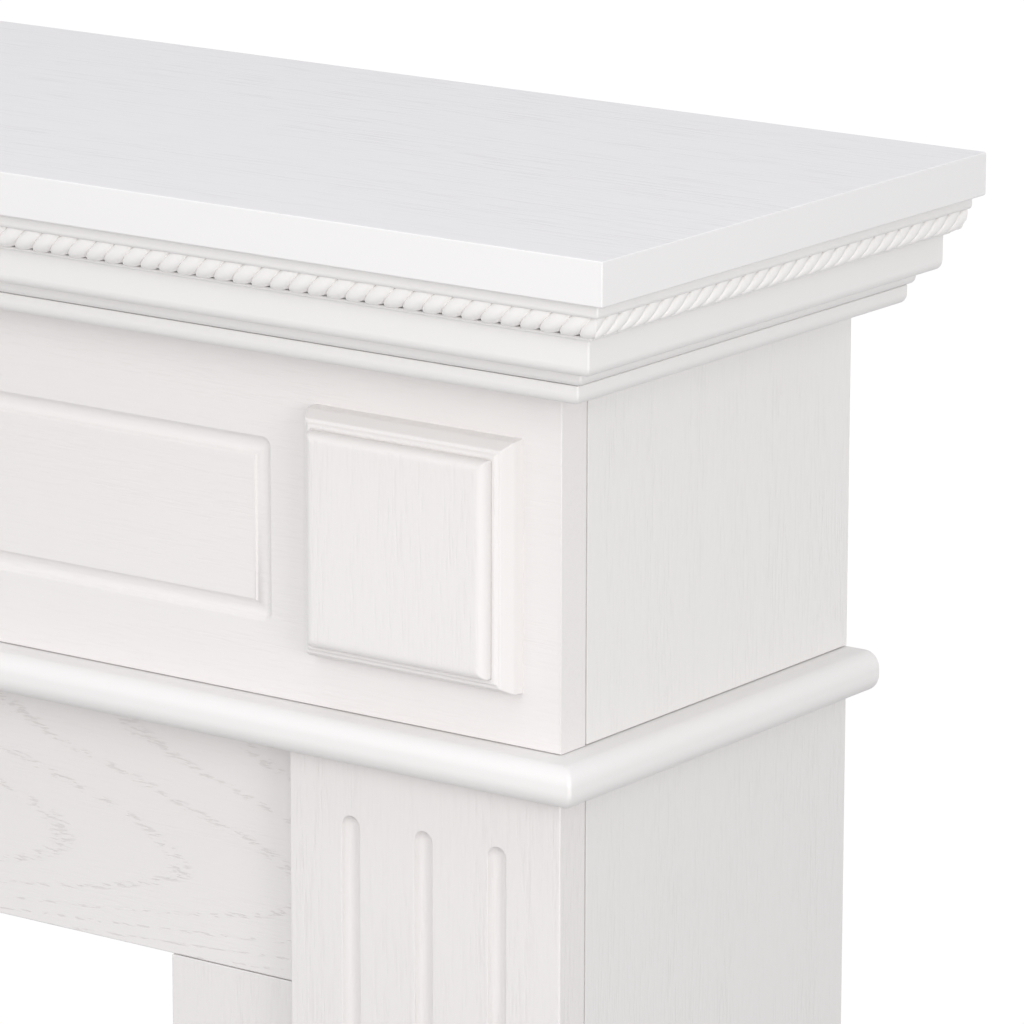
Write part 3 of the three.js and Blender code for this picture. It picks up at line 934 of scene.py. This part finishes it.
for side in ("right", "left"):
    low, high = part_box(f"pilaster_{side}")
    bm = bmesh.new()
    board_edges(bm, low, high)
    middle_x = (low.x + high.x) / 2
    flute_low = plinth_top + (FLUTE_MARGIN + FLUTE_HALF_WIDTH) * MM
    flute_high = high.z - (FLUTE_MARGIN + FLUTE_HALF_WIDTH) * MM
    for i in range(FLUTE_COUNT):
        x = middle_x + (i - (FLUTE_COUNT - 1) / 2) * FLUTE_SPACING
        flute_path = [Vector((x, front_y, flute_low)), Vector((x, front_y, flute_high))]
        cut_path(bm, FLUTE_CUT, flute_path, FLUTE_TURN_STEPS)
    fill_front(bm)
    finished(bm, f"fluted_pilaster_{side}", pilaster_paint, [f"pilaster_{side}"])

# %% [markdown]
# ## The square blocks
# A block over each pilaster is edged with a small stepped moulding: an upright edge, a slope, a
# narrow flat, a fine quirk and a rounded edge up to the field. The profile is swept inwards round
# four mitred corners. Its mitre arrises catch the light, so they are eased by nearly a millimetre.

# %% Blocks
BLOCK_PROFILE = [
    (0, 0, 0, 0),
    (0.9, 8.0, 1.0, 3),
    (5.2, 16.1, 0.8, 2),
    (7.2, 16.3, 0.5, 2),
    (8.4, 18.0, 0.6, 2),
    (10.6, 18.0, 0.3, 2),
    (10.9, 17.3, 0, 0),
    (11.2, 17.3, 0, 0),
    (11.3, 26, 5.9, 6),
    (19, 26, 0, 0),
]
BLOCK_MITRE_EASE = 0.9

for side in ("right", "left"):
    low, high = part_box(f"block_{side}")
    low.y = front_y
    bm = bmesh.new()
    swept(bm, drawn_profile(bm, BLOCK_PROFILE), corner_stations(low, high, inward=True))
    bmesh.ops.remove_doubles(bm, verts=bm.verts, dist=MERGE)
    close_holes(bm)
    centre = (low + high) / 2
    middles = [(edge, (edge.verts[0].co + edge.verts[1].co) / 2 - centre) for edge in bm.edges]
    mitres = [edge for edge, middle in middles if abs(abs(middle.x) - abs(middle.z)) < MERGE]
    ease_mitre(bm, mitres, BLOCK_MITRE_EASE, 2)
    finished(bm, f"frieze_block_{side}", block_paint, [f"block_{side}"])

# %% [markdown]
# ## The plinths
# Plain boards with a rounded top edge go round the foot of each leg and are mitred at its corner.
# The photo ends above them, so they are kept simple.

# %% Plinths
PLINTH_THICKNESS = 16
PLINTH_HEIGHT = 100
PLINTH_CORNERS = [
    (0, 0, 0, 0),
    (PLINTH_THICKNESS, 0, 0.8, 2),
    (PLINTH_THICKNESS, PLINTH_HEIGHT, 10, 7),
    (0, PLINTH_HEIGHT, 0, 0),
]

for side, sense in (("right", 1), ("left", -1)):
    low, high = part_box(f"pilaster_{side}")
    inner_x = low.x if sense > 0 else high.x
    outer = Vector((sense * body_half, front_y, 0))
    stations = [
        station(Vector((inner_x, front_y, 0)), -BACK),
        station(outer, sense * RIGHT - BACK),
        station(Vector((sense * body_half, back_y, 0)), sense * RIGHT),
    ]
    bm = bmesh.new()
    rims = swept(bm, drawn_profile(bm, PLINTH_CORNERS, closed=True), stations)
    ease_mitre(bm, rims[1], MITRE_EASE)
    close_holes(bm)
    nodes = [f"plinth_front_{side}", f"plinth_side_{side}"]
    finished(bm, f"plinth_{side}", moulding_paint, nodes)

# %% [markdown]
# ## Floor and studio light
# The floor is a wide pale disc. On the camera's side it takes soft shadows and throws back a little
# light. Past the mantelpiece it glows, as a studio backdrop does under its own lamps, so the
# background is plain white and no horizon shows. How far a point lies past the middle is its
# position measured along the camera's level direction.

# %% The floor
FLOOR_RADIUS = 14
FLOOR_SIDES = 96
FLOOR_SHADE = (0.50, 0.50, 0.50, 1)
GLOW_FROM = 0.45
GLOW_TO = 1.13
FLOOR_GLOW = 1.02

floor_finish = Finish("studio_floor")
past_middle = floor_finish.take("ShaderNodeVectorMath", "Value", {"operation": "DOT_PRODUCT"},
                                {0: object_place(floor_finish), 1: level_ahead})
glow = floor_finish.take("ShaderNodeMapRange", "Result", {"interpolation_type": "SMOOTHSTEP"},
                         {"Value": past_middle, "From Min": GLOW_FROM, "From Max": GLOW_TO})
pale = floor_finish.take("ShaderNodeBsdfDiffuse", "BSDF", None, {"Color": FLOOR_SHADE})
lit = floor_finish.take("ShaderNodeEmission", "Emission", None, {"Strength": FLOOR_GLOW})
both = floor_finish.take("ShaderNodeMixShader", "Shader", None, {0: glow, 1: pale, 2: lit})
floor_finish.node("ShaderNodeOutputMaterial", None, {"Surface": both})

bm = bmesh.new()
bmesh.ops.create_circle(bm, cap_ends=True, radius=FLOOR_RADIUS, segments=FLOOR_SIDES)
floor_mesh = bpy.data.meshes.new("floor")
bm.to_mesh(floor_mesh)
bm.free()
floor_mesh.materials.append(floor_finish.material)
floor = bpy.data.objects.new("floor", floor_mesh)
bpy.context.scene.collection.objects.link(floor)
floor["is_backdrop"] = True

# %% World and lamps
WORLD_LIGHT = 0.775
WORLD_COLOUR = (0.995, 0.995, 1.02, 1)
LAMP_AIM = Vector((0.35, -0.1, 0.8))
LAMP_DISTANCE = 4.5
LAMP_SIZE = 1.6
WARM = (1.0, 0.99, 0.965)
PLAIN = (1.0, 1.0, 1.0)
COOL = (0.96, 0.95, 1.14)
STUDIO_LAMPS = {
    "key_lamp": (35, 13, 42.0, WARM),
    "right_lamp": (60, 9, 41.0, WARM),
    "far_right_lamp": (85, 15, 5.0, PLAIN),
    "high_lamp": (0, 35, 19.5, PLAIN),
    "top_lamp": (20, 70, 20.0, COOL),
    "left_lamp": (-30, 16, 14.5, WARM),
}

world = bpy.data.worlds.new("studio")
world.use_nodes = True
world.node_tree.nodes["Background"].inputs["Color"].default_value = WORLD_COLOUR
world.node_tree.nodes["Background"].inputs["Strength"].default_value = WORLD_LIGHT
bpy.context.scene.world = world

for name, (azimuth, height, power, colour) in STUDIO_LAMPS.items():
    lamp_data = bpy.data.lights.new(name, "AREA")
    lamp_data.shape = "DISK"
    lamp_data.size = LAMP_SIZE
    lamp_data.energy = power
    lamp_data.color = colour
    lamp = bpy.data.objects.new(name, lamp_data)
    tilt = Matrix.Rotation(radians(azimuth), 3, "Z") @ Matrix.Rotation(-radians(height), 3, "X")
    towards_lamp = tilt @ -BACK
    lamp.location = LAMP_AIM + towards_lamp * LAMP_DISTANCE
    lamp.rotation_euler = towards_lamp.to_track_quat("Z", "Y").to_euler()
    bpy.context.scene.collection.objects.link(lamp)
    print(name, [round(value, 2) for value in lamp.location])
bpy.context.scene.view_settings.view_transform = "Standard"

# %% [markdown]
# ## The dressed box
# The box round every piece that renders, leaving out the floor, is printed. The dressed model has
# to stay in the CAD model's box.

# %% Sizes and the end
low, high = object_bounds()
print("dressed box", [round(value, 4) for value in (*low, *high)])
